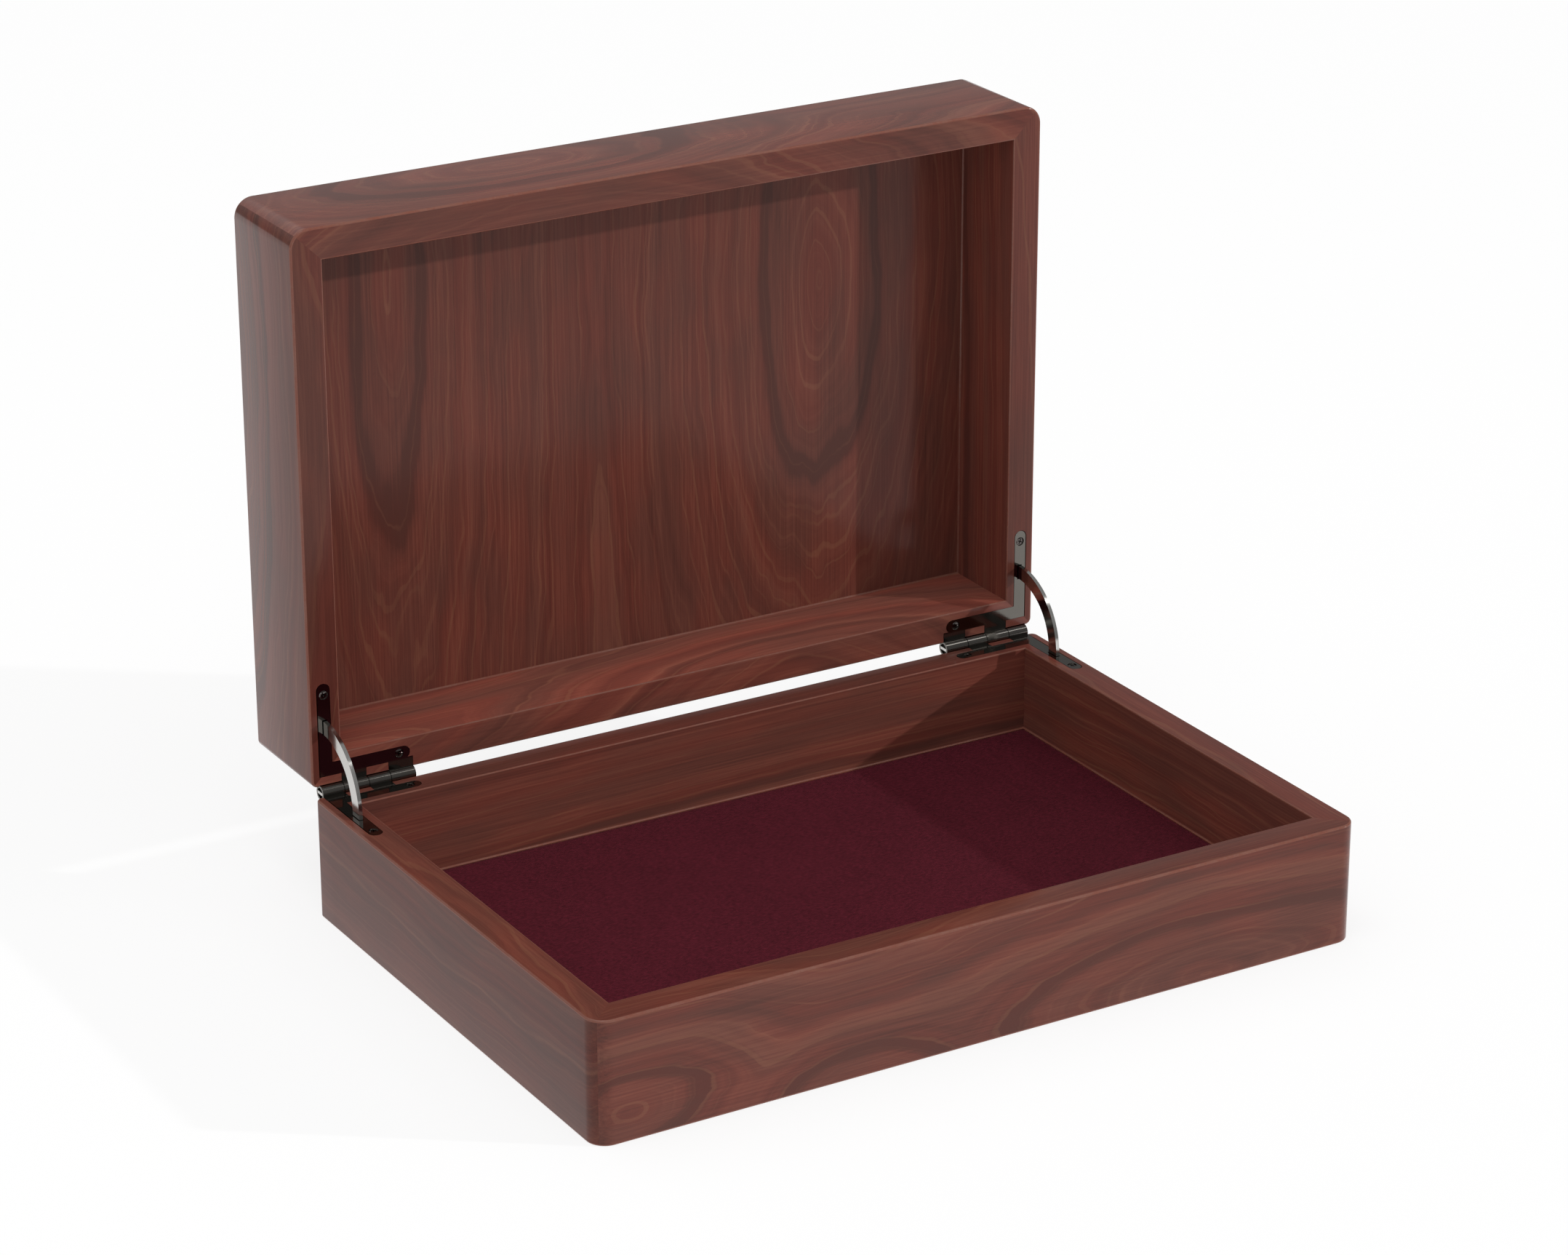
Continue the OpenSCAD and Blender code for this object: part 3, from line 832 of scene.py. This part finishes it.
class KEEPSAKE_OT_base_boards(bpy.types.Operator):
    """Make the four mitred boards of the base"""
    bl_idname = "keepsake.base_boards"
    bl_label = "Base boards"

    def execute(self, context):
        # The tone factors are each board's own tone with painted light and shade for how light falls on each face.
        build_tray("base", context.scene, {
            "front": dict(grain="x_up", hearts=[(-150, 12, 2.4, 13.0), (-54, -3, 2.4, 13.5), (95, 3, 3.7, 23.5)],
                          seed=3.0, calm=0.5, figure=1.15, tones_and_painted_light=(0.91, 0.93, 1.0), ior=1.30),
            "back": dict(grain="x_up", hearts=[(60, -150, 4.0, 160.0)],
                         seed=7.3, calm=0.35, figure=1.1, tones_and_painted_light=(0.95, 0.95, 1.07), ior=1.37),
            "left": dict(grain="y_up", hearts=[(-20, 84, 5.0, 20.0)],
                         seed=11.1, calm=0.7, tones_and_painted_light=(0.70, 0.98, 1.05), ior=1.275),
            "right": dict(grain="y_up", hearts=[(-10, -18, 5.0, 75.0)],
                          seed=5.7, calm=0.5, figure=1.1, tones_and_painted_light=(0.95, 1.04, 1.17), ior=1.32)})
        return {"FINISHED"}


class KEEPSAKE_OT_lid_boards(bpy.types.Operator):
    """Make the four mitred boards of the lid"""
    bl_idname = "keepsake.lid_boards"
    bl_label = "Lid boards"

    def execute(self, context):
        # The tone factors are each board's own tone with painted light and shade for how light falls on each face.
        build_tray("lid", context.scene, {
            "front": dict(grain="x_back", hearts=[(-57, 150, 2.9, 26.0), (90, 190, 3.0, 22.0)],
                          seed=2.2, calm=0.6, tones_and_painted_light=(1.2, 0.86, 1.0), ior=1.28, coat=0.48),
            "back": dict(grain="x_back", hearts=[(49, 108, 3.2, 26.0), (-110, 160, 4.5, 12.0)],
                         seed=9.4, calm=0.45, tones_and_painted_light=(0.95, 1.2, 1.55), ior=1.38),
            "left": dict(grain="z_back", hearts=[(205, 172, 4.0, 34.0)],
                         seed=4.6, calm=0.6, tones_and_painted_light=(0.75, 0.70, 1.0), ior=1.28, coat=0.17),
            "right": dict(grain="z_back", hearts=[(60, 300, 4.0, 150.0)],
                          seed=6.9, calm=0.35, figure=1.1, tones_and_painted_light=(0.95, 0.76, 1.26), ior=1.30)})
        return {"FINISHED"}


class KEEPSAKE_OT_panels(bpy.types.Operator):
    """Finish the lid panel and the floor panel"""
    bl_idname = "keepsake.panels"
    bl_label = "Panels"

    def execute(self, context):
        look, width = context.scene.keepsake_finish, context.scene.keepsake_sizes.panel_ease
        finish_node("lid_panel", mahogany(
            "lid_panel_mahogany", look, "z_wide", [(235, -108, 6.5, 14.5), (204, 84, 3.1, 27.0)], 1.4,
            calm=0.6, figure=1.15, tones_and_painted_light=(0.92,) * 3, ior=1.25, face=BOX["panel_y"] / MM), width)
        finish_node("base_floor_panel", mahogany(
            "floor_panel_mahogany", look, "x_back", [(60, 0, 4.0, 30.0)], 8.8,
            calm=0.6, face=BOX["floor_z"] / MM), width)
        return {"FINISHED"}


class KEEPSAKE_OT_lining(bpy.types.Operator):
    """Lay the burgundy cloth on the floor panel"""
    bl_idname = "keepsake.lining"
    bl_label = "Lining"

    def execute(self, context):
        scene = context.scene
        low, high = BOX["cloth"]
        mesh = cloth_sheet(low, high, scene.keepsake_sizes.nap)
        cloth = new_piece("lining_cloth", mesh, burgundy_cloth(scene.keepsake_finish), "base")
        sharpen(cloth, 50)
        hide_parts("base_lining")
        return {"FINISHED"}


class KEEPSAKE_OT_hinges(bpy.types.Operator):
    """Plate and ease the quadrant hinges: leaves, pins, stay arms and screws"""
    bl_idname = "keepsake.hinges"
    bl_label = "Quadrant hinges"

    def execute(self, context):
        look, width = context.scene.keepsake_finish, context.scene.keepsake_sizes.metal_ease
        # Painted shade and light: leaves and screws get a darker nickel, stays and pins a brighter one, for the dim
        # and bright surroundings they mirror.
        leaf = nickel("nickel_leaves_painted_darker", look.leaf_metal)
        stay = nickel("nickel_stays_painted_brighter", look.stay_metal, 0.12)
        pin = nickel("nickel_pins", look.stay_metal, 0.2)
        screw = nickel("nickel_screws_painted_darker", look.screw_metal, 0.10)
        for side in ("left", "right"):
            for part, plate in (("base_leaf", leaf), ("lid_leaf", leaf), ("stay_arm", stay)):
                finish_node(f"{side}_{part}", plate, width)
            for part, plate in (("hinge_pin", pin), ("base_screws", screw), ("lid_screws", screw)):
                finish_node(f"{side}_{part}", plate, width * 0.5, 1)
        return {"FINISHED"}


class KEEPSAKE_OT_stage(bpy.types.Operator):
    """Set up the pale floor, the studio light and the camera"""
    bl_idname = "keepsake.stage"
    bl_label = "Stage"

    def execute(self, context):
        stage = context.scene.keepsake_stage
        for set_up in (studio_floor, studio_sky, studio_lamps, studio_camera):
            set_up(stage)
        context.scene.view_settings.view_transform = "Standard"
        return {"FINISHED"}


class KEEPSAKE_PT_pieces(bpy.types.Panel):
    """Lists the pieces of the keepsake box and its settings"""
    bl_label = "Keepsake Box"
    bl_idname = "KEEPSAKE_PT_pieces"
    bl_space_type = "VIEW_3D"
    bl_region_type = "UI"
    bl_category = "Keepsake"

    def draw(self, context):
        for step in STEPS:
            self.layout.operator(step.bl_idname)
        for group in (context.scene.keepsake_sizes, context.scene.keepsake_finish, context.scene.keepsake_stage):
            box = self.layout.box()
            for name in group.__annotations__:
                box.prop(group, name)


STEPS = (
    KEEPSAKE_OT_base_boards,
    KEEPSAKE_OT_lid_boards,
    KEEPSAKE_OT_panels,
    KEEPSAKE_OT_lining,
    KEEPSAKE_OT_hinges,
    KEEPSAKE_OT_stage,
)
CLASSES = (KeepsakeSizes, KeepsakeFinish, KeepsakeStage, *STEPS, KEEPSAKE_PT_pieces)


def register():
    for cls in CLASSES:
        bpy.utils.register_class(cls)
    bpy.types.Scene.keepsake_sizes = bpy.props.PointerProperty(type=KeepsakeSizes)
    bpy.types.Scene.keepsake_finish = bpy.props.PointerProperty(type=KeepsakeFinish)
    bpy.types.Scene.keepsake_stage = bpy.props.PointerProperty(type=KeepsakeStage)


def unregister():
    for name in ("keepsake_sizes", "keepsake_finish", "keepsake_stage"):
        delattr(bpy.types.Scene, name)
    for cls in reversed(CLASSES):
        bpy.utils.unregister_class(cls)


def main():
    register()
    for step in STEPS:
        group, name = step.bl_idname.split(".")
        getattr(getattr(bpy.ops, group), name)()


if __name__ == "__main__":
    main()
